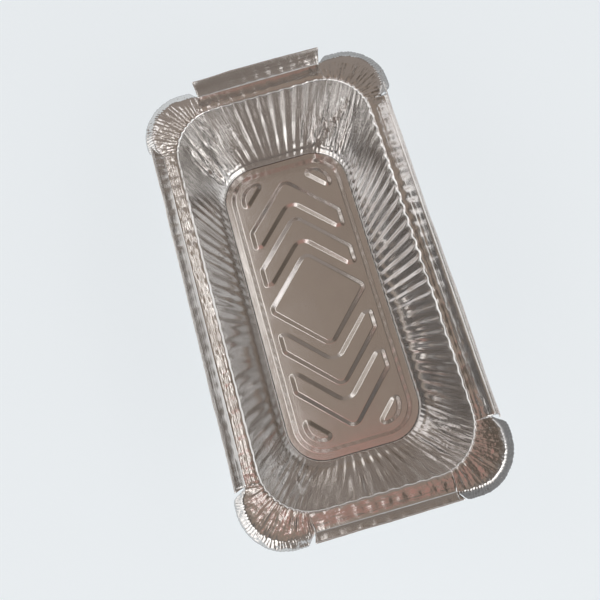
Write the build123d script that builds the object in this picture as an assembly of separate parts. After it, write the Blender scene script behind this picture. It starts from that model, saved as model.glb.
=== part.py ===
from build123d import *
import math
import os

# One-piece pressed foil tray, millimetres, +Z up.
# Origin at the middle of the standing plane, X along the length, Y across.

# Sheet
SHEET = 0.1

# Tub: the base outline is taken at the top of the foot bend, the mouth where the wall ends.
BASE_LENGTH = 160.5
BASE_WIDTH = 69.5
BASE_CORNER = 19.3
MOUTH_LENGTH = 183.2
MOUTH_WIDTH = 90.8
MOUTH_CORNER = 21.5
DEPTH = 46.0
FOOT_BEND = 1.4
MOUTH_BEND = 0.9

# Flutes: the straight walls carry broad ones, the corners gather into narrow ones.
# A height is how far a flute swings either side of the outline at the mouth. The shares say
# how much of it is reached where the foot bend starts, on the standing plane, and ends.
FLUTE_PITCH = 5.65
FLUTE_HEIGHT = 0.55
CORNER_PITCH = 2.6
CORNER_HEIGHT = 0.3
FOOT_SHARE = 0.35
BEND_SHARE = 0.7

# Ledge round the mouth, and the four lips that stand on its straight edges.
# A lip's edge is folded over outwards into a hem.
LEDGE_END = 7.6
LEDGE_SIDE = 6.6
LIP_HEIGHT = 11.0
LIP_LEAN = 0.7
LIP_BEND = 0.6
HEM_DEPTH = 3.8
HEM_GAP = 0.4
HEM_ROUND = 0.15

# Ears: the gathered corners, where the ledge runs on past the lips and curls down.
# The radius is that of the flat top; the lips stop short of the ledge's corners by EAR_ALONG.
EAR_RADIUS = 15.6
EAR_PAST_SIDE = 1.7
EAR_ALONG_END = 22.6
EAR_ALONG_SIDE = 24.3
EAR_CURL = 4.6
EAR_SKIRT = 1.0
PLEAT_PITCH = 3.0
PLEAT_HEIGHT = 0.45

# Base relief: a standing channel round a raised panel, with plateaus on the panel.
# From each end inwards come two corner drops, the chevrons and, in the middle, a diamond.
# Their slanted edges run at 45 degrees in plan, and gaps and widths are measured along X.
CHANNEL_WIDTH = 3.0
PANEL_RISE = 1.0
PLATEAU_RISE = 1.0
PLATEAU_MARGIN = 5.2
DROP_LEG = 16.6
DROP_GAP = 10.0
CHEVRON_ROWS = 2
CHEVRON_WIDTH = 15.2
CHEVRON_GAP = 6.0
CHEVRON_TRIM = 5.0
POINT_ROUND = 5.0
END_ROUND = 1.5
DROP_ROUND = 2.6

# Cutters run this far past the sheet that they open.
OVERSHOOT = 1.0

# How far a skin's corner moves along the sheet at a 45 degree bend
MITRE = SHEET * math.tan(math.radians(22.5))

ledge_half_x = MOUTH_LENGTH / 2 + LEDGE_END
ledge_half_y = MOUTH_WIDTH / 2 + LEDGE_SIDE
end_lip_half = ledge_half_y - EAR_ALONG_END
side_lip_half = ledge_half_x - EAR_ALONG_SIDE
ear_x = ledge_half_x - EAR_RADIUS
ear_y = ledge_half_y + EAR_PAST_SIDE - EAR_RADIUS
panel_inset = FOOT_BEND + CHANNEL_WIDTH
zone_inset = panel_inset + PLATEAU_MARGIN
zone_half_x = BASE_LENGTH / 2 - zone_inset
zone_half_y = BASE_WIDTH / 2 - zone_inset
drop_reach = zone_half_x + zone_half_y - DROP_LEG


def stations(half_x, half_y, radius, counts):
    """Points round a rounded rectangle, anticlockwise from +X, with their outward directions.

    counts gives the steps on a corner, a long side and a short side. The last value of each
    entry is the flute height there.
    """
    corner_steps, long_steps, short_steps = counts
    across = Vector(half_x - radius, half_y - radius)
    back = Vector(radius - half_x, half_y - radius)
    centres = [across, back, -across, -back]
    found = []
    for quarter, centre in enumerate(centres):
        for step in range(corner_steps):
            out = Vector(1, 0).rotate(Axis.Z, 90 * (quarter + step / corner_steps))
            found.append((centre + out * radius, out, CORNER_HEIGHT))
        out = Vector(1, 0).rotate(Axis.Z, 90 * (quarter + 1))
        start = centre + out * radius
        finish = centres[(quarter + 1) % 4] + out * radius
        steps = short_steps if quarter % 2 else long_steps
        for step in range(steps):
            found.append((start + (finish - start) * (step / steps), out, FLUTE_HEIGHT))
    return found


def flute_counts():
    """Steps on a corner, a long side and a short side of the wall, four to a flute."""
    corner = round(math.pi / 2 * MOUTH_CORNER / CORNER_PITCH)
    long_side = round((MOUTH_LENGTH - 2 * MOUTH_CORNER) / FLUTE_PITCH)
    short_side = round((MOUTH_WIDTH - 2 * MOUTH_CORNER) / FLUTE_PITCH)
    return 4 * corner, 4 * long_side, 4 * short_side


def fluted_wire(z, climb, spread, share):
    """The wall's outline at height z, as arcs that swing out and in by turns.

    climb is 0 at the base outline and 1 at the mouth, spread moves the outline outwards, and
    share is the part of the full flute height that is reached here.
    """
    half_x = (BASE_LENGTH + (MOUTH_LENGTH - BASE_LENGTH) * climb) / 2 + spread
    half_y = (BASE_WIDTH + (MOUTH_WIDTH - BASE_WIDTH) * climb) / 2 + spread
    radius = BASE_CORNER + (MOUTH_CORNER - BASE_CORNER) * climb + spread
    points = []
    for index, (place, out, height) in enumerate(stations(half_x, half_y, radius, flute_counts())):
        swing = height * share * (0, 1, 0, -1)[index % 4]
        points.append(Vector(place.X, place.Y, z) + out * swing)
    points.append(points[0])
    arcs = [Edge.make_three_point_arc(*points[i:i + 3]) for i in range(0, len(points) - 1, 2)]
    return Wire(arcs)


def tub_outside():
    """The tub as a solid block, out to the wall's outside face."""
    levels = [
        (0, 0, -FOOT_BEND, FOOT_SHARE),
        (FOOT_BEND, 0, 0, BEND_SHARE),
        (DEPTH - MOUTH_BEND - MITRE, 1, 0, 1),
        (DEPTH - SHEET, 1, MOUTH_BEND - SHEET + MITRE, 1),
    ]
    return Solid.make_loft([fluted_wire(*level) for level in levels], ruled=True)


def tub_hollow():
    """The hollow that the wall leaves, carried on past the mouth."""
    levels = [
        (SHEET, 0, -FOOT_BEND - MITRE, FOOT_SHARE),
        (FOOT_BEND + MITRE, 0, -SHEET, BEND_SHARE),
        (DEPTH - MOUTH_BEND, 1, -SHEET, 1),
        (DEPTH, 1, MOUTH_BEND - SHEET, 1),
        (DEPTH + OVERSHOOT, 1, MOUTH_BEND - SHEET, 1),
    ]
    return Solid.make_loft([fluted_wire(*level) for level in levels], ruled=True)


def ledge():
    """The flat ledge between the lips."""
    outline = Rectangle(2 * ledge_half_x - 2 * LIP_BEND, 2 * end_lip_half)
    outline += Rectangle(2 * side_lip_half, 2 * ledge_half_y - 2 * LIP_BEND)
    return Pos(0, 0, DEPTH - SHEET) * extrude(outline, SHEET)


def lip(half_length, distance):
    """A lip with its edge folded over outwards, standing at this distance along +X."""
    foot = -2 * LIP_BEND
    path = FilletPolyline(
        (foot, 0),
        (0, 0),
        (LIP_LEAN, LIP_HEIGHT),
        (LIP_LEAN + HEM_GAP, LIP_HEIGHT),
        (LIP_LEAN + HEM_GAP, LIP_HEIGHT - HEM_DEPTH),
        radius=[LIP_BEND, HEM_ROUND, HEM_ROUND],
    )
    strip = make_face(path.wire().offset_2d(SHEET, side=Side.RIGHT, closed=True))
    placed = Pos(distance, half_length, DEPTH) * Rot(90, 0, 0) * strip
    return extrude(placed, 2 * half_length, dir=(0, -1, 0))


def ear_wire(z, spread, share, margin):
    """One level of an ear in the +X +Y corner: a pleated edge closed by two straight ones."""
    start = Vector(ear_x + EAR_RADIUS, end_lip_half)
    turn_in = Vector(ear_x + EAR_RADIUS, ear_y)
    finish = Vector(side_lip_half, ear_y + EAR_RADIUS)
    turn_out = Vector(ear_x, ear_y + EAR_RADIUS)
    runs = [(turn_in - start).length, math.pi / 2 * EAR_RADIUS, (finish - turn_out).length]
    counts = [2 * max(1, round(run / PLEAT_PITCH)) for run in runs]
    line = []
    for step in range(counts[0]):
        line.append((start + (turn_in - start) * (step / counts[0]), Vector(1, 0)))
    for step in range(counts[1]):
        out = Vector(1, 0).rotate(Axis.Z, 90 * step / counts[1])
        line.append((Vector(ear_x, ear_y) + out * EAR_RADIUS, out))
    for step in range(counts[2] + 1):
        line.append((turn_out + (finish - turn_out) * (step / counts[2]), Vector(0, 1)))
    points = []
    for index, (place, out) in enumerate(line):
        swing = PLEAT_HEIGHT * share * (-1) ** index
        points.append(Vector(place.X, place.Y, z) + out * (spread + swing))
    points[0] -= Vector(0, margin, 0)
    points[-1] -= Vector(margin, 0, 0)
    points.append(Vector(side_lip_half - margin, end_lip_half - margin, z))
    return Wire.make_polygon(points, close=True)


def ear():
    """A gathered corner: flat on top, then curled over and down in pleats."""
    skin = []
    lining = []
    for turn in (0, 30, 60, 90):
        across = math.sin(math.radians(turn))
        down = 1 - math.cos(math.radians(turn))
        share = turn / 90
        skin.append(ear_wire(DEPTH - EAR_CURL * down, EAR_CURL * across, share, 0))
        inner = EAR_CURL - SHEET
        lining.append(ear_wire(DEPTH - SHEET - inner * down, inner * across, share, OVERSHOOT))
    hem = DEPTH - EAR_CURL - EAR_SKIRT
    skin.append(ear_wire(hem, EAR_CURL, 1, 0))
    lining.append(ear_wire(hem - OVERSHOOT, EAR_CURL - SHEET, 1, OVERSHOOT))
    return Solid.make_loft(skin, ruled=True) - Solid.make_loft(lining, ruled=True)


def base_outline(inset):
    """The base's rounded rectangle, drawn in by this much."""
    return RectangleRounded(BASE_LENGTH - 2 * inset, BASE_WIDTH - 2 * inset, BASE_CORNER - inset)


def slanted(reach):
    """A square standing on its corner, whose corners are this far from the centre."""
    return make_face(Polyline((reach, 0), (0, reach), (-reach, 0), (0, -reach), close=True))


def eased(sketch):
    """Diamond or chevron outlines with their points and then their other corners rounded."""
    points = [vertex for vertex in sketch.vertices() if abs(vertex.Y) < SHEET]
    sketch = fillet(points, POINT_ROUND)
    limit = zone_half_y - CHEVRON_TRIM - SHEET
    ends = [vertex for vertex in sketch.vertices() if abs(vertex.Y) > limit]
    return fillet(ends, END_ROUND).faces()


def chevrons(far):
    """The chevron at each end whose outer slanted lines lie this far from the centre."""
    near = far - CHEVRON_WIDTH
    trim = near - zone_half_y + CHEVRON_TRIM
    arms = (base_outline(zone_inset) & slanted(far)) - slanted(near)
    return eased(arms - Rectangle(2 * trim, 2 * zone_half_y))


def drops():
    """The four drops, one in each corner of the panel, beyond the last slanted line."""
    sketch = base_outline(zone_inset) - slanted(drop_reach)
    tips = [v for v in sketch.vertices() if abs(abs(v.X) + abs(v.Y) - drop_reach) < SHEET]
    return fillet(tips, DROP_ROUND).faces()


def plateaus():
    """The outlines of every plateau, from the ends inwards."""
    outlines = drops()
    reach = drop_reach - DROP_GAP
    for _ in range(CHEVRON_ROWS):
        outlines += chevrons(reach)
        reach -= CHEVRON_WIDTH + CHEVRON_GAP
    return outlines + eased(base_outline(zone_inset) & slanted(reach))


def field(outline, foot, rise):
    """A raised field whose sides slope at 45 degrees, one sheet above its rise."""
    climb = rise + SHEET
    block = extrude(outline, 2 * climb)
    top = block.faces().sort_by(Axis.Z)[-1]
    sloped = Pos(0, 0, foot - climb) * chamfer(top.edges(), climb)
    return split(sloped, Plane.XY.offset(foot), keep=Keep.TOP)


def relief(body):
    """The body with its base pressed up into the panel and the plateaus, one sheet thick."""
    fields = [field(base_outline(panel_inset).face(), 0, PANEL_RISE)]
    fields += [field(outline, PANEL_RISE, PLATEAU_RISE) for outline in plateaus()]
    body += fields
    return body - [Pos(0, 0, -SHEET) * raised for raised in fields]


def tray():
    """The whole tray as one solid."""
    body = tub_outside() + ledge()
    for side in (0, 180):
        body += Rot(0, 0, side) * lip(end_lip_half, ledge_half_x)
        body += Rot(0, 0, side + 90) * lip(side_lip_half, ledge_half_y)
    corner = ear()
    body += [corner, mirror(corner, Plane.YZ), mirror(corner, Plane.XZ), Rot(0, 0, 180) * corner]
    body -= tub_hollow()
    return relief(body)


os.makedirs("parts", exist_ok=True)
export_step(tray(), "parts/foil_tray.step")
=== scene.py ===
import math

import bpy
import numpy as np
from mathutils import Matrix, Vector
from mathutils.geometry import delaunay_2d_cdt


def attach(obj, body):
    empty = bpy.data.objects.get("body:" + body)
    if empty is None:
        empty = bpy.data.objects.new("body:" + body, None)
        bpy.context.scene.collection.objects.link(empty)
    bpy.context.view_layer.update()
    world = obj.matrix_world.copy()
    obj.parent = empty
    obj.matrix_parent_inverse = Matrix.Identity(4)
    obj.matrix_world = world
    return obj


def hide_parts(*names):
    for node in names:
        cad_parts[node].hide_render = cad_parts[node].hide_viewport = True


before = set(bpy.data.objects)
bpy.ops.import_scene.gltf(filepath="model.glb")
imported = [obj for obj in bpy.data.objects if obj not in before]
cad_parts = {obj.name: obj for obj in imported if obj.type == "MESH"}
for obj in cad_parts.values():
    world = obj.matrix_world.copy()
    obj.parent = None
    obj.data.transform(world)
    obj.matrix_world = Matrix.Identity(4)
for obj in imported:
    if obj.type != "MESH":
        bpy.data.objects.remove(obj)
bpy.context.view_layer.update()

# ---------------------------------------------------------------- sizes of the tray, millimetres

MM = 0.001
SHEET = 0.1

# Length, width and corner radius of the base, at the top of the foot bend, and of the mouth
BASE = (160.5, 69.5, 19.3)
MOUTH = (183.2, 90.8, 21.5)
DEPTH = 46.0
MOUTH_BEND = 0.9

# The foot: how high its bend reaches, the bend's radius, how far it stands in from the base's
# outline and up from the floor, and the width of the flat band inside it
FOOT_BEND = 1.4
FOOT_ROUND = 0.6
FOOT_SETBACK = 0.15
FOOT_LIFT = 0.05
EDGE_BAND = 0.5

# Flutes of the wall: how many on a long side, a short side and a corner, and their swing
LONG_FLUTES = 25
SHORT_FLUTES = 8
CORNER_FLUTES = 13
FLUTE_HEIGHT = 0.55
CORNER_HEIGHT = 0.3

# Ledge and lips. The +Y ledge is wider, and each long side's lip has a further lean of its own
LEDGE_HALF = (99.2, 52.0)
LEDGE_WIDER = 2.2
LIP_HEIGHT = 11.0
LIP_LEAN = 0.7
LEAN_LEFT = 1.3
LEAN_RIGHT = -3.2
LIP_BEND = 0.6
LIP_BOW = 0.35
END_LIP_HALF = 29.4
SIDE_LIP_HALF = 74.9
HEM_DEPTH = 3.8
HEM_GAP = 0.4

# Ears. Corners are counted anticlockwise from +X +Y: how steeply each ear's outer band falls
# away, in degrees, and how strongly painted shade darkens that band
EAR_RADIUS = 15.6
EAR_CENTRE = (83.6, 38.1)
EAR_PAST_SIDE = 1.7
EAR_CURL = 4.6
EAR_START = 4.5
EAR_TILTS = (38, 32, 29, 29)
EAR_PAINTED_SHADE = (1.0, 0.75, 0.22, 0.3)
EAR_BAND_ROWS = 8
EAR_BEND_ROWS = 3

# Marks of handling: the spacing of each kind of pleat and how far it pushes the sheet, the
# folds in each corner, and the crumpled belt's lower and upper height and soft edge
CORNER_PLEAT, CORNER_PLEAT_DEPTH = 1.15, 0.055
MIDDLE_PLEAT, MIDDLE_PLEAT_DEPTH = 2.9, 0.13
SPOKE, SPOKE_DEPTH = 1.3, 0.095
EAR_PLEAT, EAR_PLEAT_DEPTH = 1.2, 0.13
FOLDS_A_CORNER = 22
FOLD_STRENGTHS = (0.5, 1.3, 1.5, 0.5)
FOLD_SEED = 40
FOLD_REACH = 40.0
CRUMPLE_BAND = (20.0, 32.0, 7.0)

# Base relief: a panel inside a channel, and the figures' zone inside the panel
CHANNEL_WIDTH = 3.0
PANEL_MARGIN = 5.2
PANEL_RISE = 0.42
PLATEAU_RISE = 0.62
SLOPE_RUN = 2.2
PANEL_INSET = FOOT_BEND + CHANNEL_WIDTH
ZONE_INSET = PANEL_INSET + PANEL_MARGIN
ZONE_HALF = (BASE[0] / 2 - ZONE_INSET, BASE[1] / 2 - ZONE_INSET)
DROP_REACH = 79.2
CHEVRONS = (69.2, 48.0)
CHEVRON_WIDTH = 15.2
CHEVRON_TRIM = 5.0
DIAMOND_REACH = 26.8

# How finely the sheet is laid out
EAR_COLUMNS = 152
LONG_COLUMNS = 190
SHORT_COLUMNS = 66
STUB_COLUMNS = 8
SLIT_TURN = 0.25
WALL_ROWS = 12
LEDGE_ROWS = 5

# Spacing of the base's points: along the panel's outline, along a figure's outline, over the
# flats, and between a flat's point and any outline. The rings are how far inside an outline
# each line of points lies
PANEL_PITCH = 1.3
FIGURE_PITCH = 1.15
FLAT_PITCH = 3.6
FLAT_GAP = 1.3
SLOPE_RINGS = (-0.35, 0.0, 0.3, 1.9, 2.2, 2.6)

# How strongly the whole studio is lit, and its soft lights: name, place and aim in metres,
# length and width in metres, power in watts and colour
STUDIO_LEVEL = 1.13
MIDDLE = (0.0, 0.0, 0.0)
DAYLIGHT = (1.0, 0.99, 0.98)
LIGHTS = (
    ("overhead_strip", (-0.20, -0.21, 1.2), (-0.20, -0.21, 0.0), (0.95, 0.10), 0.42, DAYLIGHT),
    ("side_window", (-0.1, 1.25, 0.72), MIDDLE, (1.3, 0.9), 2.4, (1.0, 1.0, 1.0)),
    ("near_window", (0.85, -0.95, 0.75), MIDDLE, (0.9, 0.8), 3.5, (1.0, 0.97, 0.95)),
    ("left_window", (-0.2, -1.2, 0.7), MIDDLE, (1.2, 0.6), 2.6, DAYLIGHT),
    ("corner_window", (0.95, 0.8, 0.72), MIDDLE, (1.1, 0.8), 5.2, DAYLIGHT),
    ("side_panel", (-0.15, 0.85, 1.0), MIDDLE, (1.0, 0.35), 0.40, DAYLIGHT),
    ("back_panel", (-0.62, -0.62, 1.0), MIDDLE, (0.5, 0.34), 0.45, (1.0, 0.98, 0.99)),
)


# ---------------------------------------------------------------- small maths

def smooth(value, low, high):
    """0 below low, 1 above high, and a smooth step between them."""
    share = np.clip((value - low) / (high - low), 0.0, 1.0)
    return share * share * (3.0 - 2.0 * share)


def eased_ramp(share):
    """A straight climb from 0 to 1 whose two ends are slightly rounded."""
    share = np.clip(share, 0.0, 1.0)
    return 0.75 * share + 0.25 * share * share * (3.0 - 2.0 * share)


def bump_between(value, low, high, edge):
    """1 between low and high, falling smoothly to 0 over the edge on either side."""
    return smooth(value, low - edge, low) * (1.0 - smooth(value, high, high + edge))


def drift(points, size, seed):
    """Smooth random values from -1 to 1.

    Random numbers stand on a cubic lattice of this size, and each point blends the eight round
    it by smooth steps of its place in its cell.
    """
    table = np.random.default_rng(seed).random(4096)
    scaled = points / size + 1000.0
    cell = np.floor(scaled).astype(np.int64)
    part = scaled - cell
    part = part * part * (3.0 - 2.0 * part)
    total = np.zeros(points.shape[:-1])
    for corner in range(8):
        step = np.array([corner & 1, corner >> 1 & 1, corner >> 2 & 1])
        at = cell + step
        key = (at[..., 0] * 73856093) ^ (at[..., 1] * 19349663) ^ (at[..., 2] * 83492791)
        weight = np.prod(np.where(step == 1, part, 1.0 - part), axis=-1)
        total += weight * table[key & 4095]
    return 2.0 * total - 1.0


def creased(points, size, seed):
    """Random sharp ridges: one less twice the size of a smooth random value."""
    return 1.0 - 2.0 * np.abs(drift(points, size, seed))


# ---------------------------------------------------------------- the ring: columns round the tray

def ring():
    """The columns of the sheet, anticlockwise from the +X side, as arrays.

    quarter is the corner that a column starts from, turn its outward direction in degrees, along
    how far it is down the straight side after the corner, and ear how far it is along its ear,
    from 0 to 1, or -1 where it carries a lip.
    """
    quarter = []
    turn = []
    along = []
    ear = []
    lip_stop = math.degrees(math.asin((END_LIP_HALF - MOUTH[1] / 2 + MOUTH[2]) / MOUTH[2]))
    side_stop = math.degrees(math.acos((SIDE_LIP_HALF - MOUTH[0] / 2 + MOUTH[2]) / MOUTH[2]))
    for index in range(4):
        first, last = (lip_stop, side_stop) if index % 2 == 0 else (90 - side_stop, 90 - lip_stop)
        count = SHORT_COLUMNS if index % 2 else LONG_COLUMNS
        stub = np.linspace(0, first, STUB_COLUMNS)
        gathered = np.linspace(first + SLIT_TURN, last - SLIT_TURN, EAR_COLUMNS)
        after = np.linspace(last, 90, STUB_COLUMNS)[:-1]
        straight = np.arange(count) / count
        local = np.concatenate([stub, gathered, after, np.full(count, 90.0)])
        turn.append(local + 90.0 * index)
        quarter.append(np.full(len(local), index))
        along.append(np.concatenate([np.zeros(len(local) - count), straight]))
        places = np.full(len(local), -1.0)
        places[STUB_COLUMNS:STUB_COLUMNS + EAR_COLUMNS] = np.linspace(0, 1, EAR_COLUMNS)
        ear.append(places)
    return tuple(np.concatenate(part) for part in (quarter, turn, along, ear))


QUARTER, TURN, ALONG, EAR = ring()
COLUMNS = len(TURN)
OUT = np.stack([np.cos(np.radians(TURN)), np.sin(np.radians(TURN))], axis=-1)
SIGNS = np.array([(1, 1), (-1, 1), (-1, -1), (1, -1)])


def outline(half_x, half_y, radius):
    """A rounded rectangle sampled at the ring's columns.

    A corner column is the corner's centre plus the radius along its outward direction, and a
    side column does the same from a centre that slides to the next corner.
    """
    reach = np.array([half_x - radius, half_y - radius])
    here = SIGNS[QUARTER] * reach
    following = SIGNS[(QUARTER + 1) % 4] * reach
    centre = here + (following - here) * ALONG[:, None]
    return centre + OUT * radius


def wall_outline(climb, spread):
    """The wall's outline, 0 at the base and 1 at the mouth, moved outwards by spread."""
    length, width, corner = (b + (m - b) * climb for b, m in zip(BASE, MOUTH))
    return outline(length / 2 + spread, width / 2 + spread, corner + spread)


def rim_foot():
    """Where the ledge ends at each column, and the way the rim faces there.

    Under a lip it is the mouth's point carried straight out to the lip. Round an ear it runs
    along the end, round the ear's arc and back along the side, and it eases in to meet the lip.
    """
    mouth = wall_outline(1.0, 0.0)
    facing = np.round(OUT / np.abs(OUT).max(axis=-1, keepdims=True) * 0.75)
    sideways = np.abs(facing[:, 1]) > 0.5
    half = np.where(sideways, LEDGE_HALF[1], LEDGE_HALF[0]) - LIP_BEND
    half = half + LEDGE_WIDER * (sideways & (facing[:, 1] > 0))
    foot = np.where(np.abs(facing) > 0.5, facing * half[:, None], mouth)
    first = EAR_CENTRE[1] - END_LIP_HALF
    arc = math.pi / 2 * EAR_RADIUS
    total = first + arc + EAR_CENTRE[0] - SIDE_LIP_HALF
    place = np.where(QUARTER % 2 == 0, EAR, 1.0 - EAR) * total
    angle = np.clip((place - first) / EAR_RADIUS, 0.0, math.pi / 2)
    before = np.minimum(place - first, 0.0)
    beyond = np.maximum(place - first - arc, 0.0)
    eased = EAR_PAST_SIDE * (1.0 - smooth(total - place, 0.0, EAR_START + 2.0))
    x = EAR_CENTRE[0] + EAR_RADIUS * np.cos(angle) - beyond
    y = EAR_CENTRE[1] + EAR_RADIUS * np.sin(angle) + before - eased
    signs = SIGNS[QUARTER]
    on_ear = (EAR >= 0.0)[:, None]
    foot = np.where(on_ear, np.stack([x, y], axis=-1) * signs, foot)
    facing = np.where(on_ear, np.stack([np.cos(angle), np.sin(angle)], axis=-1) * signs, facing)
    run = np.where(EAR >= 0.0, EAR * total, -1.0)
    return foot, facing, run, total


FOOT, FACING, EAR_RUN, EAR_TOTAL = rim_foot()

# How far along the mouth each column is, and how much of a corner it is
mouth_line = wall_outline(1.0, 0.0)
MOUTH_RUN = np.concatenate([[0.0], np.cumsum(np.linalg.norm(np.diff(mouth_line, axis=0), axis=-1))])
MOUTH_LENGTH_ROUND = MOUTH_RUN[-1] + np.linalg.norm(mouth_line[0] - mouth_line[-1])
LOCAL_TURN = TURN - 90.0 * QUARTER
from_side = np.minimum(LOCAL_TURN, 90.0 - LOCAL_TURN)
IN_CORNER = np.where(ALONG > 0.0, 0.0, smooth(from_side, 0.0, 16.0))
side_length = np.where(QUARTER % 2 == 0, MOUTH[0], MOUTH[1]) - 2 * MOUTH[2]
to_corner = np.minimum(ALONG, 1.0 - ALONG) * side_length
NEAR_CORNER = np.where(ALONG > 0.0, 1.0 - smooth(to_corner, 0.0, 16.0), 1.0)


# ---------------------------------------------------------------- the rows: foot to hem

def levels():
    """The rows of the sheet before it is crumpled.

    Gives the places, the way each row is pushed by a dent, and each row's part: how far up the
    wall (0 to 1), how far out on the ledge (0 to 1) and how far round the rim (0 to 1), with
    -1 where the row is elsewhere.
    """
    places = []
    pushes = []
    parts = []
    out = np.concatenate([OUT, np.zeros((COLUMNS, 1))], axis=-1)
    face = np.concatenate([FACING, np.zeros((COLUMNS, 1))], axis=-1)
    up = np.zeros((COLUMNS, 3))
    up[:, 2] = 1.0

    def add(plan, height, push, part):
        level = np.broadcast_to(np.asarray(height, dtype=float), (COLUMNS,))
        places.append(np.concatenate([plan, level[:, None]], axis=-1))
        pushes.append(push)
        parts.append(part)

    for turn in np.radians((0, 30, 60)):
        height = SHEET + FOOT_LIFT + FOOT_ROUND * (1.0 - math.cos(turn))
        push = up * math.cos(turn) - out * math.sin(turn)
        spread = FOOT_ROUND * (math.sin(turn) - 1.0) - SHEET - FOOT_SETBACK
        add(wall_outline(0.0, spread), height, push, (0.0, -1, -1))
    top = DEPTH - MOUTH_BEND
    for climb in np.linspace(0.0, 1.0, WALL_ROWS):
        height = FOOT_BEND + (top - FOOT_BEND) * climb
        add(wall_outline(climb, -SHEET), height, up * 0.22 - out * 0.975, (climb, -1, -1))
    for turn in np.radians((30, 62)):
        spread = (MOUTH_BEND + SHEET) * (1.0 - math.cos(turn)) - SHEET
        push = up * math.sin(turn) - out * math.cos(turn)
        add(wall_outline(1.0, spread), top + MOUTH_BEND * math.sin(turn), push, (1.0, 0.0, -1))
    inner = wall_outline(1.0, MOUTH_BEND)
    for share in np.linspace(0.0, 1.0, LEDGE_ROWS + 1):
        add(inner + (FOOT - inner) * share, DEPTH, up, (-1, share, -1))

    profile = lip_profile()
    started = smooth(np.minimum(EAR_RUN, EAR_TOTAL - EAR_RUN), 0.0, EAR_START)
    curl = EAR_CURL * (0.1 + 0.9 * started)
    on_ear = EAR >= 0.0
    tilt = np.radians(EAR_TILTS)[QUARTER]
    drop = np.zeros(COLUMNS)
    side_lean = np.where(FACING[:, 1] < 0, LEAN_LEFT, LEAN_RIGHT)
    lean = np.where(np.abs(FACING[:, 1]) > 0.5, side_lean, 0.0)
    for row, (across, rise) in enumerate(profile):
        across = across + lean * max(0.0, rise - LIP_BEND) / LIP_HEIGHT
        turn = tilt * min(1.0, (row + 1) / EAR_BEND_ROWS)
        if row < EAR_BAND_ROWS:
            drop = drop + np.tan(turn) * curl / EAR_BAND_ROWS
        under = max(0, row - EAR_BAND_ROWS)
        ear_out = curl * min(1.0, (row + 1) / EAR_BAND_ROWS) - 0.35 * under
        ear_up = -drop - 0.12 * (row >= EAR_BAND_ROWS) - 0.3 * under
        outward = np.where(on_ear, ear_out, across)
        upward = np.where(on_ear, ear_up, rise)
        draped = up * np.cos(turn)[:, None] + face * np.sin(turn)[:, None]
        push = np.where(on_ear[:, None], draped, up if row == 0 else -face)
        part = (row + 1) / len(profile)
        add(FOOT + FACING * outward[:, None], DEPTH + upward, push, (-1, -1, part))
    return np.array(places), np.array(pushes), np.array(parts)


def lip_profile():
    """A lip's section from the ledge out: how far outwards and how far up each row is."""
    bend = LIP_BEND
    fold = HEM_GAP / 2
    rows = [(bend * math.sin(math.pi / 4), bend * (1.0 - math.cos(math.pi / 4))), (bend, bend)]
    for rise in (3.0, 5.6, 8.2):
        bow = LIP_BOW * math.sin(math.pi * rise / LIP_HEIGHT)
        rows.append((bend + LIP_LEAN * rise / LIP_HEIGHT + bow, rise))
    top = LIP_HEIGHT - fold - SHEET
    lean = bend + LIP_LEAN
    rows += [(lean, top), (lean + 0.3 * fold, top + 0.72 * fold), (lean + fold, top + fold)]
    rows += [(lean + 1.7 * fold, top + 0.72 * fold), (lean + HEM_GAP, top - 0.1)]
    rows += [(lean + HEM_GAP, LIP_HEIGHT - HEM_DEPTH / 2), (lean + HEM_GAP, LIP_HEIGHT - HEM_DEPTH)]
    return rows


# ---------------------------------------------------------------- flutes, gathers, dents and folds

class Sheet:
    """The rows and columns before they are worked, and where each point lies on the tray.

    wall, ledge and rim say how far along that part a row is, on_wall, on_ledge, on_rim and
    on_ear are 1 where a point belongs to it, corner is 1 in a corner, near is 1 in it and fades
    a little way down the sides, and run is the distance round the mouth.
    """

    def __init__(self, places, pushes, parts):
        self.places = places
        self.pushes = pushes
        self.x, self.y, self.height = places[..., 0], places[..., 1], places[..., 2]
        self.wall, self.ledge, self.rim = (parts[:, index][:, None] for index in range(3))
        self.corner = IN_CORNER[None, :]
        self.near = NEAR_CORNER[None, :]
        self.run = MOUTH_RUN[None, :] + 0.0 * self.height
        self.on_wall = (self.wall >= 0.0) * 1.0
        self.on_ledge = ((self.ledge >= 0.0) & (self.wall < 0.0)) * 1.0
        self.on_rim = (self.rim >= 0.0) * 1.0
        self.on_ear = (EAR >= 0.0)[None, :] * 1.0
        self.mouth_place = np.concatenate([mouth_line, np.zeros((COLUMNS, 1))], axis=-1)[None]
        self.left_wall = smooth(-self.y, 20.0, 34.0)
        self.belt = bump_between(self.height, *CRUMPLE_BAND)


def pleats(distance, size):
    """A sine that repeats once in this distance."""
    return np.sin(2 * math.pi * distance / size)


def flute_phase():
    """How far through its sines the flutes are at each column: one turn for each flute."""
    flutes = np.where(QUARTER % 2 == 0, LONG_FLUTES, SHORT_FLUTES)
    return 2 * math.pi * (CORNER_FLUTES * LOCAL_TURN / 90.0 + flutes * ALONG)[None, :]


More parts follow.
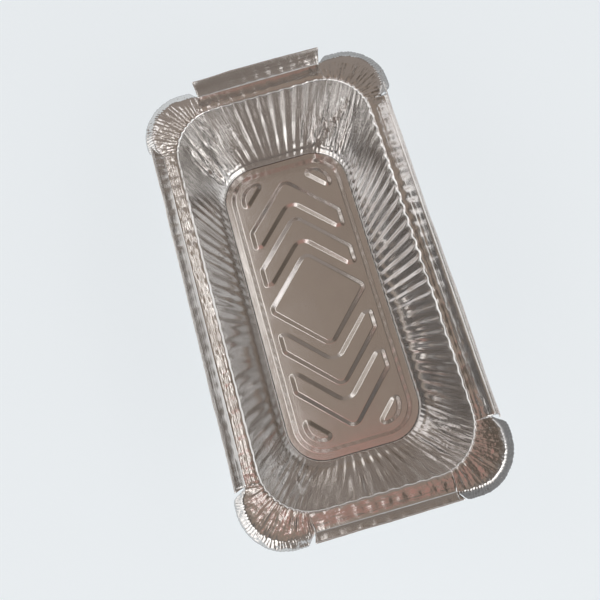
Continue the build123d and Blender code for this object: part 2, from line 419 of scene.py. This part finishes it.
def flute_swing(sheet):
    """How far out each point is swung by its flute.

    It is the flute's sine, squared off a little, times the swing of the column and the share of
    the row. The swing varies slowly round the tray and is shallower on the -Y wall, the two end
    walls and the +X half of the +Y wall. The share falls towards the foot and past the mouth.
    """
    x, y, height = sheet.x, sheet.y, sheet.height
    swing = FLUTE_HEIGHT + (CORNER_HEIGHT - FLUTE_HEIGHT) * sheet.corner
    swing = swing * (0.85 + 0.35 * drift(sheet.mouth_place, 23.0, 5))
    swing = swing * (1.0 - 0.62 * sheet.left_wall) * (1.0 - 0.5 * smooth(x, 60.0, 82.0))
    swing = swing * (1.0 - 0.45 * smooth(x, 15.0, 50.0) * smooth(y, 20.0, 34.0))
    swing = swing * (1.0 - 0.55 * smooth(-x, 66.0, 82.0))
    at_foot = 0.35 + 0.35 * smooth(height, SHEET, FOOT_BEND)
    share = np.where(sheet.wall > 0.0, 0.7 + 0.3 * sheet.wall, at_foot)
    far_foot = smooth(-x, 60.0, 78.0) * (1.0 - smooth(height, 2.0, 14.0))
    share = share * (1.0 - 0.55 * far_foot)
    on_ledge = 0.25 * (1.0 - smooth(sheet.ledge, 0.0, 0.3)) * sheet.on_ledge
    share = np.where(sheet.on_wall > 0, share, on_ledge)
    share = share * np.where(sheet.on_wall * (sheet.ledge >= 0.0) > 0, 0.45, 1.0)
    wander = 0.5 * drift(sheet.places, 14.0, 8) * (1.0 - 0.6 * sheet.left_wall)
    sine = np.sin(flute_phase() + wander)
    return swing * share * np.sign(sine) * np.abs(sine) ** 0.85


def folds(run, height, corner_run, seed, strength):
    """Long straight creases fanning down a corner's wall.

    Each crease is a line in the plane of distance round the corner and height. The push is a
    tent over the distance from that line, fading out at its two ends.
    """
    random = np.random.default_rng(seed)
    total = np.zeros(run.shape)
    for _ in range(FOLDS_A_CORNER):
        start = random.uniform(-16.0, 16.0)
        high = random.uniform(30.0, 44.0)
        low = random.uniform(3.0, 22.0)
        slant = random.uniform(-0.30, 0.30) - start * 0.022
        width = random.uniform(1.2, 3.4)
        size = strength * random.uniform(0.3, 1.0) * random.choice((-1.0, 1.0))
        line = corner_run + start + slant * (44.0 - height)
        gap = np.abs(run - line)
        fade = smooth(height, low, low + 6.0) * (1.0 - smooth(height, high - 6.0, high))
        total += size * np.clip(1.0 - gap / width, 0.0, 1.0) * fade
    return total


def wall_push(sheet):
    """The wall's pleats, folds, crumpled belt and unevenness, added up.

    Fine pleats are deepest at the mouth and wider ones further down, both only in the corners.
    The crumple is creased noise, strongest half way up the corners. The foot is left flat.
    """
    places, run, height, near = sheet.places, sheet.run, sheet.height, sheet.near
    wavering = run + 0.55 * drift(places, 3.2, 21) + 0.25 * drift(places, 1.3, 22)
    fine = pleats(wavering, CORNER_PLEAT) * smooth(height, 27.0, 45.0)
    middle = pleats(run + 1.1 * drift(places, 6.0, 23), MIDDLE_PLEAT) * smooth(height, 3.0, 20.0)
    push = (CORNER_PLEAT_DEPTH * fine + MIDDLE_PLEAT_DEPTH * middle) * sheet.corner

    half_way = MOUTH_RUN[-1] / 2
    for index, strength in enumerate(FOLD_STRENGTHS):
        middle_run = MOUTH_RUN[np.argmin(np.abs(TURN - (90.0 * index + 45.0)))]
        shift = (run - middle_run + half_way) % (2 * half_way) - half_way
        creases = folds(middle_run + shift, height, middle_run, FOLD_SEED + index, strength)
        push = push + creases * (np.abs(shift) < FOLD_REACH)

    crumple = 0.5 * creased(places, 4.2, 31) + 0.3 * creased(places, 2.0, 32)
    depth = 0.34 + 0.26 * smooth(-sheet.x, 60.0, 80.0)
    push = push + depth * crumple * sheet.belt * near ** 1.5
    calm = 1.0 - 0.75 * sheet.left_wall * (1.0 - near)
    push = push + 0.10 * drift(places, 9.0, 33) * calm
    push = push + 0.05 * creased(places, 4.0, 34) * (0.3 + near) * calm
    return push * smooth(height, SHEET + FOOT_LIFT, 2 * FOOT_BEND) * sheet.on_wall


def ledge_push(sheet):
    """The ledge's radial creases under the ears, its dents, and the flutes pressed into it."""
    places, near, ledge = sheet.places, sheet.near, sheet.ledge
    spokes = pleats(sheet.run + 1.3 * drift(places, 3.4, 51), SPOKE)
    spokes = spokes * (0.55 + 0.45 * drift(places, 3.6, 52))
    spokes = spokes * (1.0 - 0.4 * smooth(sheet.y, 10.0, 30.0))
    push = SPOKE_DEPTH * spokes * near * sheet.on_ear * smooth(ledge, -0.3, 0.35)
    dents = creased(places * np.array([0.55, 1.0, 1.0]), 2.2, 53)
    dents = dents + 0.6 * creased(places, 1.3, 54)
    at_end = smooth(np.abs(sheet.x), 90.0, 93.0) * (1.0 - near)
    depth = 0.04 + 0.08 * near + 0.05 * smooth(-sheet.y, 30.0, 45.0)
    depth = depth * (1.0 - 0.8 * at_end)
    push = push + depth * dents * bump_between(ledge, 0.35, 0.8, 0.3)
    pressed = np.sin(flute_phase()) * 0.12 * bump_between(ledge, 0.3, 0.6, 0.3)
    push = push + pressed * (1.0 - sheet.corner) * (1.0 - near)
    return push * sheet.on_ledge


def ear_push(sheet):
    """The pleats over an ear's outer band, and its knocks."""
    places, rim = sheet.places, sheet.rim
    wavering = EAR_RUN[None, :] + 0.45 * drift(places, 2.2, 61)
    gathers = pleats(wavering, EAR_PLEAT) * (0.75 + 0.35 * drift(places, 3.0, 62))
    push = EAR_PLEAT_DEPTH * gathers * smooth(rim, -0.1, 0.25)
    push = push + 0.16 * creased(places, 2.4, 63) * smooth(rim, 0.0, 0.4)
    return push * sheet.on_ear * sheet.on_rim


def lip_push(sheet):
    """A lip's slow waves, growing with its height, and small creases above its foot."""
    wave = 0.35 * drift(sheet.mouth_place, 31.0, 71) + 0.22 * drift(sheet.mouth_place, 12.0, 72)
    tall = np.clip((sheet.height - DEPTH) / LIP_HEIGHT, 0.0, 1.0)
    push = 0.05 * creased(sheet.places, 3.0, 73) * smooth(tall, 0.1, 0.4) - wave * tall ** 1.5
    return push * sheet.on_rim * (1.0 - sheet.on_ear)


def worked(sheet):
    """The sheet after fluting, gathering and handling.

    Every point swings outwards by its flute and moves along its push by its own part's marks.
    """
    out = np.concatenate([OUT, np.zeros((COLUMNS, 1))], axis=-1)
    push = wall_push(sheet) + ledge_push(sheet) + ear_push(sheet) + lip_push(sheet)
    return sheet.places + out[None] * flute_swing(sheet)[..., None] + sheet.pushes * push[..., None]


# ---------------------------------------------------------------- the base's pressed pattern

def rounded(corners, radii):
    """A polygon's outline with each corner rounded by an arc of its own radius.

    The arc touches both sides, its centre lies on the corner's bisector, and its points turn
    evenly from one side's normal to the other's.
    """
    corners = np.array(corners, dtype=float)
    line = []
    for here, before, after, radius in zip(
        corners, np.roll(corners, 1, axis=0), np.roll(corners, -1, axis=0), radii
    ):
        back = (before - here) / np.linalg.norm(before - here)
        ahead = (after - here) / np.linalg.norm(after - here)
        half = math.acos(np.clip(back @ ahead, -1, 1)) / 2
        bisector = (back + ahead) / np.linalg.norm(back + ahead)
        centre = here + bisector * radius / math.sin(half)
        start = here + back * radius / math.tan(half) - centre
        finish = here + ahead * radius / math.tan(half) - centre
        sweep = math.pi - 2 * half
        side = math.copysign(1.0, start[0] * finish[1] - start[1] * finish[0])
        steps = max(3, round(sweep * radius / 0.8))
        turn = side * np.linspace(0, sweep, steps + 1)[:, None]
        line.append(centre + start * np.cos(turn) + np.array([-start[1], start[0]]) * np.sin(turn))
    return np.concatenate(line)


def even(line, pitch):
    """A closed line's points spread evenly, about this far apart."""
    closed = np.concatenate([line, line[:1]])
    run = np.concatenate([[0.0], np.cumsum(np.linalg.norm(np.diff(closed, axis=0), axis=-1))])
    count = max(12, round(run[-1] / pitch))
    at = np.arange(count) / count * run[-1]
    return np.stack([np.interp(at, run, closed[:, axis]) for axis in range(2)], axis=-1)


def rectangle(half_x, half_y, radius):
    """A rectangle about the middle, its four corners rounded."""
    corners = [(half_x, half_y), (-half_x, half_y), (-half_x, -half_y), (half_x, -half_y)]
    return rounded(corners, [radius] * 4)


def plateau_outlines():
    """The diamond, the four chevrons and the four drops."""
    wide = ZONE_HALF[1]
    flat = DIAMOND_REACH - wide
    diamond = [(DIAMOND_REACH, 0), (flat, wide), (-flat, wide)]
    diamond += [(-x, -y) for x, y in diamond]
    outlines = [rounded(diamond, [5.0, 1.5, 1.5] * 2)]
    for far in CHEVRONS:
        near = far - CHEVRON_WIDTH
        trim = near - wide + CHEVRON_TRIM
        arm = [(far, 0), (far - wide, wide), (trim, wide), (trim, near - trim), (near, 0)]
        arm += [(trim, trim - near), (trim, -wide), (far - wide, -wide)]
        line = rounded(arm, [5.0, 1.5, 1.5, 1.5, 5.0, 1.5, 1.5, 1.5])
        outlines += [line, -line]
    tip = ZONE_HALF[0]
    drop = [(tip, DROP_REACH - tip), (tip, wide), (DROP_REACH - wide, wide)]
    line = rounded(drop, [2.6, BASE[2] - ZONE_INSET, 2.6])
    for signs in SIGNS:
        outlines.append(line * signs)
    return outlines


def depth_inside(points, line):
    """How far inside a closed line each point is, negative outside.

    The distance is to the nearest of the line's pieces, and the sign comes from how often a ray
    along +X crosses the line.
    """
    start = line[None]
    step = np.roll(line, -1, axis=0)[None] - start
    away = points[:, None] - start
    share = np.clip((away * step).sum(-1) / (step * step).sum(-1), 0.0, 1.0)
    gap = np.linalg.norm(away - step * share[..., None], axis=-1).min(axis=1)
    above = start[..., 1] > points[:, None, 1]
    over = (start[..., 1] + step[..., 1]) > points[:, None, 1]
    with np.errstate(divide="ignore", invalid="ignore"):
        cross = start[..., 0] + step[..., 0] * (points[:, None, 1] - start[..., 1]) / step[..., 1]
    inside = ((above != over) & (cross > points[:, None, 0])).sum(axis=1) % 2 == 1
    return np.where(inside, gap, -gap)


def base_patch(edge):
    """The base inside the ring's first row.

    Rings of points follow the edge and every pressed outline, loose points fill the flats, and
    they are joined into triangles. The height is the rise of each outline that a point is
    inside, taken up its slope by an eased ramp, and a slow unevenness of the flats. Gives the
    places, the triangles, which edge point each place is (or -1) and the heights.
    """
    panel = rectangle(BASE[0] / 2 - PANEL_INSET, BASE[1] / 2 - PANEL_INSET, BASE[2] - PANEL_INSET)
    outlines = [even(panel, PANEL_PITCH)]
    outlines += [even(line, FIGURE_PITCH) for line in plateau_outlines()]
    points = [edge]
    for line in outlines:
        tangent = np.roll(line, -1, axis=0) - np.roll(line, 1, axis=0)
        tangent /= np.linalg.norm(tangent, axis=-1, keepdims=True)
        inward = np.stack([-tangent[:, 1], tangent[:, 0]], axis=-1)
        if depth_inside(line[:1] + 0.01 * inward[:1], line)[0] < 0:
            inward = -inward
        for step in SLOPE_RINGS:
            points.append(line + inward * step)
    points.append(wall_outline(0.0, -FOOT_ROUND - FOOT_SETBACK - SHEET - EDGE_BAND)[::2])
    rings = np.concatenate(points[1:])
    random = np.random.default_rng(3)
    rows, columns = np.arange(-78, 78, FLAT_PITCH), np.arange(-32, 32, FLAT_PITCH)
    grid = np.stack(np.meshgrid(rows, columns), axis=-1)
    loose = grid.reshape(-1, 2) + random.uniform(-0.8, 0.8, (grid.size // 2, 2))
    middle = wall_outline(0.0, -FOOT_BEND - 1.2)
    loose = loose[depth_inside(loose, middle) > 0.5]
    spacing = np.linalg.norm(rings[None] - loose[:, None], axis=-1).min(axis=1)
    loose = loose[spacing > FLAT_GAP]
    every = np.concatenate([edge, rings, loose])
    count = len(edge)
    border = np.stack([np.arange(count), (np.arange(count) + 1) % count], axis=-1)
    flat, _, faces, _, _, _ = delaunay_2d_cdt(every.tolist(), border.tolist(), [], 1, 1e-5)
    flat = np.array(flat)
    faces = np.array(faces)
    gap = np.linalg.norm(flat[:, None] - edge[None], axis=-1)
    owner = np.where(gap.min(axis=1) < 1e-4, gap.argmin(axis=1), -1)

    level = np.zeros(len(flat))
    for index, line in enumerate(outlines):
        rise = PANEL_RISE if index == 0 else PLATEAU_RISE
        level += rise * eased_ramp(depth_inside(flat, line) / SLOPE_RUN)
    space = np.concatenate([flat, np.zeros((len(flat), 1))], axis=-1)
    rim_gap = depth_inside(flat, wall_outline(0.0, -FOOT_BEND))
    calm = smooth(rim_gap, 0.0, 5.0)
    level += calm * (0.07 * drift(space, 30.0, 81) + 0.006 * drift(space, 9.0, 82))
    return flat, faces, owner, level + SHEET + FOOT_LIFT


# ---------------------------------------------------------------- one pressed sheet

def sheet_mesh():
    """The whole tray as one skin: the ring grid, open at the slits beside the lips, and its base.

    Grid faces join each column to the next and each row to the next. The base's outer points
    are the grid's first row itself. Also gives the marks that the material reads (how crushed,
    gathered, lined or shaded each point is) and where each point is on the unrolled sheet.
    """
    sheet = Sheet(*levels())
    moved = worked(sheet)
    rows = len(moved)
    edge = moved[0, :, :2]
    flat, base_faces, owner, level = base_patch(edge)
    is_edge = owner >= 0
    fresh = np.cumsum(~is_edge) - 1 + rows * COLUMNS
    number = np.where(is_edge, owner, fresh)
    base_points = np.concatenate([flat, level[:, None]], axis=-1)[~is_edge]
    base_faces = number[base_faces]

    column = np.arange(COLUMNS)
    following = (column + 1) % COLUMNS
    is_ear = EAR >= 0.0
    slit = is_ear != is_ear[following]
    row = np.arange(rows - 1)[:, None]
    quads = np.stack([
        row * COLUMNS + column,
        row * COLUMNS + following,
        (row + 1) * COLUMNS + following,
        (row + 1) * COLUMNS + column,
    ], axis=-1)
    rim_start = rows - len(lip_profile()) - 1
    keep = ~(slit[None, :] & (row >= rim_start))
    quads = quads[keep]
    points = np.concatenate([moved.reshape(-1, 3), base_points])

    outer = sheet.on_ledge + sheet.on_rim
    crushed = sheet.near * (sheet.on_wall * (0.15 + 0.85 * sheet.belt) + 0.5 * sheet.on_ledge)
    crushed = crushed + 0.3 * sheet.on_ledge + sheet.on_rim * np.where(is_ear, 0.7, 0.08)[None]
    gathered = sheet.near * sheet.on_wall * smooth(moved[..., 2], 2.0, 16.0)
    gathered = gathered + 0.55 * is_ear[None] * outer
    lined = outer * (EAR < 0.0)[None]
    # Painted shade: darkens each ear's curled outer band by a share for its corner, standing in for
    # the band's shade and darker reflections
    painted_shade = (np.array(EAR_PAINTED_SHADE)[QUARTER] * is_ear)[None]
    shaded = sheet.on_rim * painted_shade * smooth(sheet.rim, 0.0, 0.2)
    marks = {"crushed": crushed, "gathered": gathered, "lined": lined, "shaded": shaded}
    unmarked = np.zeros(len(base_points))
    finish = {
        label: np.concatenate([np.clip(values, 0.0, 1.0).reshape(-1), unmarked])
        for label, values in marks.items()
    }
    steps = np.linalg.norm(np.diff(sheet.places[:, 0], axis=0), axis=-1)
    across = np.concatenate([[0.0], np.cumsum(steps)])
    unrolled = np.zeros((len(points), 2))
    unrolled[:rows * COLUMNS, 0] = np.tile(MOUTH_RUN, rows)
    unrolled[:rows * COLUMNS, 1] = np.repeat(across, COLUMNS)
    return points, base_faces, quads, finish, unrolled


def build(name, points, triangles, quads, finish, unrolled, material):
    """A mesh object from whole arrays, its place in its mesh.

    finish holds a value for every point, and unrolled how far round and how far across the
    sheet each point is, which becomes its UV map in metres. Where the ring closes, the last
    faces carry on past the last column instead of running back to 0.
    """
    mesh = bpy.data.meshes.new(name)
    loops = np.concatenate([triangles.reshape(-1), quads.reshape(-1)]).astype(np.int32)
    sizes = np.concatenate([np.full(len(triangles), 3), np.full(len(quads), 4)]).astype(np.int32)
    starts = np.concatenate([[0], np.cumsum(sizes)[:-1]]).astype(np.int32)
    mesh.vertices.add(len(points))
    mesh.vertices.foreach_set("co", (points * MM).astype(np.float32).reshape(-1))
    mesh.loops.add(len(loops))
    mesh.loops.foreach_set("vertex_index", loops)
    mesh.polygons.add(len(sizes))
    mesh.polygons.foreach_set("loop_start", starts)
    mesh.polygons.foreach_set("loop_total", sizes)
    mesh.polygons.foreach_set("use_smooth", np.ones(len(sizes), dtype=bool))
    mesh.update(calc_edges=True)
    mesh.validate()
    for label, values in finish.items():
        layer = mesh.attributes.new(label, "FLOAT", "POINT")
        layer.data.foreach_set("value", values.astype(np.float32))
    unwrap = mesh.uv_layers.new(name="unrolled")
    corners = np.zeros(len(mesh.loops), dtype=np.int32)
    mesh.loops.foreach_get("vertex_index", corners)
    places = unrolled[corners]
    last = places[3 * len(triangles):].reshape(-1, 4, 2)
    behind = last[..., 0].max(axis=1, keepdims=True) - last[..., 0] > MOUTH_RUN[-1] / 2
    last[..., 0] += behind * MOUTH_LENGTH_ROUND
    unwrap.data.foreach_set("uv", (places * MM).astype(np.float32).reshape(-1))
    piece = bpy.data.objects.new(name, mesh)
    bpy.context.scene.collection.objects.link(piece)
    mesh.materials.append(material)
    return piece


# ---------------------------------------------------------------- materials

class Flow:
    """One output of a node, written in sums like a number."""

    def __init__(self, recipe, socket):
        self.recipe = recipe
        self.socket = socket

    def maths(self, operation, *values):
        """A maths node on these numbers or flows."""
        numbered = dict(enumerate(values))
        return self.recipe.node("ShaderNodeMath", {"operation": operation}, numbered)

    def __add__(self, other):
        return self.maths("ADD", self, other)

    __radd__ = __add__

    def __sub__(self, other):
        return self.maths("SUBTRACT", self, other)

    def __rsub__(self, other):
        return self.maths("SUBTRACT", other, self)

    def __mul__(self, other):
        return self.maths("MULTIPLY", self, other)

    __rmul__ = __mul__


class Recipe:
    """The nodes of one material or of the world."""

    def __init__(self, owner):
        owner.use_nodes = True
        self.tree = owner.node_tree
        self.tree.nodes.clear()

    def node(self, kind, settings=None, values=None, output=0):
        """Adds a node: its settings first, then the values or flows of its sockets."""
        made = self.tree.nodes.new(kind)
        for name, value in (settings or {}).items():
            setattr(made, name, value)
        for key, value in (values or {}).items():
            named = [s for s in made.inputs if s.identifier == key]
            socket = named[0] if named else made.inputs[key]
            if isinstance(value, Flow):
                self.tree.links.new(value.socket, socket)
            else:
                socket.default_value = value
        if not made.outputs:
            return None
        named = [s for s in made.outputs if s.identifier == output]
        return Flow(self, named[0] if named else made.outputs[output])

    def step(self, value, low, high):
        """A smooth step of a value, 0 at low and 1 at high, whichever is the greater."""
        settings = {"interpolation_type": "SMOOTHSTEP"}
        values = {"Value": value, "From Min": low, "From Max": high}
        return self.node("ShaderNodeMapRange", settings, values)

    def mix(self, factor, first, second):
        """A blend of two colours."""
        values = {"Factor_Float": factor, "A_Color": first, "B_Color": second}
        return self.node("ShaderNodeMix", {"data_type": "RGBA"}, values, "Result_Color")


def foil_material():
    """Bright rolled aluminium foil, finely crumpled where it has been gathered."""
    material = bpy.data.materials.new("pressed_foil")
    foil = Recipe(material)
    place = foil.node("ShaderNodeTexCoord", output="Object")
    unrolled = foil.node("ShaderNodeUVMap", {"uv_map": "unrolled"}, output="UV")
    gathered = foil.node("ShaderNodeAttribute", {"attribute_name": "gathered"}, output="Fac")
    crushed = foil.node("ShaderNodeAttribute", {"attribute_name": "crushed"}, output="Fac")
    lined = foil.node("ShaderNodeAttribute", {"attribute_name": "lined"}, output="Fac")
    shaded = foil.node("ShaderNodeAttribute", {"attribute_name": "shaded"}, output="Fac")

    def noise(scale, detail, stretch=(1, 1, 1), where=place):
        spot = foil.node("ShaderNodeMapping", {}, {"Vector": where, "Scale": stretch})
        values = {"Vector": spot, "Scale": scale, "Detail": detail}
        return foil.node("ShaderNodeTexNoise", {}, values)

    def cells(scale):
        values = {"Vector": place, "Scale": scale}
        return foil.node("ShaderNodeTexVoronoi", {"feature": "F1"}, values, "Distance")

    cloud = noise(70.0, 3.0)
    rolled = noise(900.0, 2.0, (0.03, 1.0, 1.0))
    # The greyer tone falls in random patches; the dark grey laid over shaded points is painted
    # shade on the ears' curls
    bright, greyer, painted_shade_grey = (0.80, 0.795, 0.787, 1), (0.76, 0.75, 0.74, 1), (0.20, 0.19, 0.185, 1)
    tint = foil.mix(shaded, foil.mix(foil.step(cloud, 0.35, 0.7), bright, greyer), painted_shade_grey)
    rough = 0.10 + 0.06 * foil.step(cloud, 0.3, 0.7) + 0.04 * rolled

    # Relief too fine for the mesh: knocks where it is crushed, streaks and folds down the
    # gathers, lines along the rim, and a faint rolled grain all over
    knocks = cells(520.0) * 0.42 + cells(1300.0) * 0.10
    streaks = noise(1.0, 3.0, (800.0, 55.0, 1.0), unrolled) - 0.5
    broad = noise(1.0, 2.0, (330.0, 24.0, 1.0), unrolled) - 0.5
    gathers = streaks.maths("ABSOLUTE", streaks) * 0.55 + broad.maths("ABSOLUTE", broad) * 1.0
    edges = noise(1.0, 2.0, (30.0, 620.0, 1.0), unrolled)
    calm = noise(160.0, 2.0) * 0.06 + rolled * 0.012
    height = knocks * crushed * 0.45 + gathers * gathered + edges * lined * 0.35 + calm
    bump = foil.node("ShaderNodeBump", {}, {"Strength": 1.0, "Distance": 0.0005, "Height": height})
    shader = foil.node(
        "ShaderNodeBsdfPrincipled",
        {},
        {"Base Color": tint, "Metallic": 1.0, "Roughness": rough, "Normal": bump},
    )
    foil.node("ShaderNodeOutputMaterial", {}, {"Surface": shader})
    return material


def floor_material():
    """Plain pale floor."""
    material = bpy.data.materials.new("pale_floor")
    floor = Recipe(material)
    values = {"Base Color": (0.28, 0.30, 0.31, 1), "Roughness": 0.9}
    values["Emission Color"] = (0.76, 0.80, 0.83, 1)
    values["Emission Strength"] = 0.80
    shader = floor.node("ShaderNodeBsdfPrincipled", {}, values)
    floor.node("ShaderNodeOutputMaterial", {}, {"Surface": shader})
    return material


# ---------------------------------------------------------------- studio

def studio_world():
    """A warm brown ceiling over a darker room, paling at the horizon.

    The ceiling has a dark band on its +Y side, a lighter patch on its -Y side and a pink patch
    towards +X. Each patch is a product of steps of the direction's x, y and z.
    """
    world = bpy.data.worlds.new("studio")
    sky = Recipe(world)
    place = sky.node("ShaderNodeTexCoord", output="Generated")
    split = sky.node("ShaderNodeSeparateXYZ", {}, {"Vector": place})
    x = split
    y = Flow(sky, split.socket.node.outputs["Y"])
    z = Flow(sky, split.socket.node.outputs["Z"])
    ceiling = (0.268, 0.215, 0.178, 1)
    dark = (0.10, 0.08, 0.065, 1)
    room = (0.115, 0.105, 0.10, 1)
    warm_room = (0.265, 0.225, 0.20, 1)
    lighter = (0.40, 0.345, 0.30, 1)
    pale = (0.74, 0.77, 0.79, 1)
    pink = (0.50, 0.22, 0.19, 1)
    low = sky.mix(sky.step(x, 0.45, 0.7), room, warm_room)
    low = sky.mix(sky.step(x, -0.25, -0.55), low, warm_room)
    colour = sky.mix(sky.step(z, 0.93, 0.80), ceiling, low)
    shade = sky.step(y, 0.215, 0.24) * sky.step(y, 0.44, 0.38) * sky.step(z, 0.80, 0.90)
    colour = sky.mix(shade, colour, dark)
    glow = sky.step(y, -0.19, -0.22) * sky.step(y, -0.40, -0.34)
    glow = glow * sky.step(z, 0.78, 0.86) * sky.step(x, 0.1, 0.0)
    colour = sky.mix(glow, colour, lighter)
    blush = sky.step(x, 0.07, 0.14) * sky.step(x, 0.30, 0.2)
    blush = blush * sky.step(y, 0.25, 0.1) * sky.step(y, -0.27, -0.17)
    colour = sky.mix(blush * 0.6, colour, pink)
    colour = sky.mix(sky.step(z, 0.34, 0.18), colour, pale)
    light = sky.node("ShaderNodeBackground", {}, {"Color": colour, "Strength": STUDIO_LEVEL})
    sky.node("ShaderNodeOutputWorld", {}, {"Surface": light})
    bpy.context.scene.world = world


def soft_light(name, place, aim, size, power, colour):
    """A rectangular soft light, pointed at a place."""
    lamp = bpy.data.lights.new(name, "AREA")
    lamp.shape = "RECTANGLE"
    lamp.size, lamp.size_y = size
    lamp.energy = power * STUDIO_LEVEL
    lamp.color = colour
    holder = bpy.data.objects.new(name, lamp)
    holder.location = place
    holder.rotation_euler = (Vector(aim) - Vector(place)).to_track_quat("-Z", "Y").to_euler()
    bpy.context.scene.collection.objects.link(holder)


def camera():
    """The camera, nearly overhead, turned so that the far end is at the top left."""
    place = Vector((48.82, -11.66, 264.69)) * MM
    aim = Vector((-1.77, -9.22, 0.0)) * MM
    up_turn = math.radians(164.22)
    look = (aim - place).normalized()
    right = look.cross(Vector((math.cos(up_turn), math.sin(up_turn), 0.0))).normalized()
    upward = right.cross(look)
    lens = bpy.data.cameras.new("camera")
    lens.lens = 31.04
    lens.sensor_width = 36.0
    lens.clip_start = 0.01
    holder = bpy.data.objects.new("camera", lens)
    holder.matrix_world = Matrix.Translation(place) @ Matrix(
        [(right[i], upward[i], -look[i]) for i in range(3)]
    ).to_4x4()
    bpy.context.scene.collection.objects.link(holder)
    bpy.context.scene.camera = holder


# ---------------------------------------------------------------- assembly

camera()
studio_world()
for label, place, aim, size, power, colour in LIGHTS:
    soft_light(label, place, aim, size, power, colour)

floor_mesh = bpy.data.meshes.new("floor")
floor_mesh.from_pydata([(-3, -3, 0), (3, -3, 0), (3, 3, 0), (-3, 3, 0)], [], [(0, 1, 2, 3)])
floor_mesh.materials.append(floor_material())
floor_piece = bpy.data.objects.new("floor", floor_mesh)
bpy.context.scene.collection.objects.link(floor_piece)

points, triangles, quads, finish, unrolled = sheet_mesh()
tray = build("foil_tray_sheet", points, triangles, quads, finish, unrolled, foil_material())
thickness = tray.modifiers.new("sheet", "SOLIDIFY")
thickness.thickness = SHEET * MM
thickness.offset = -1.0
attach(tray, "root")
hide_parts("foil_tray")

bpy.context.scene.view_settings.view_transform = "Standard"
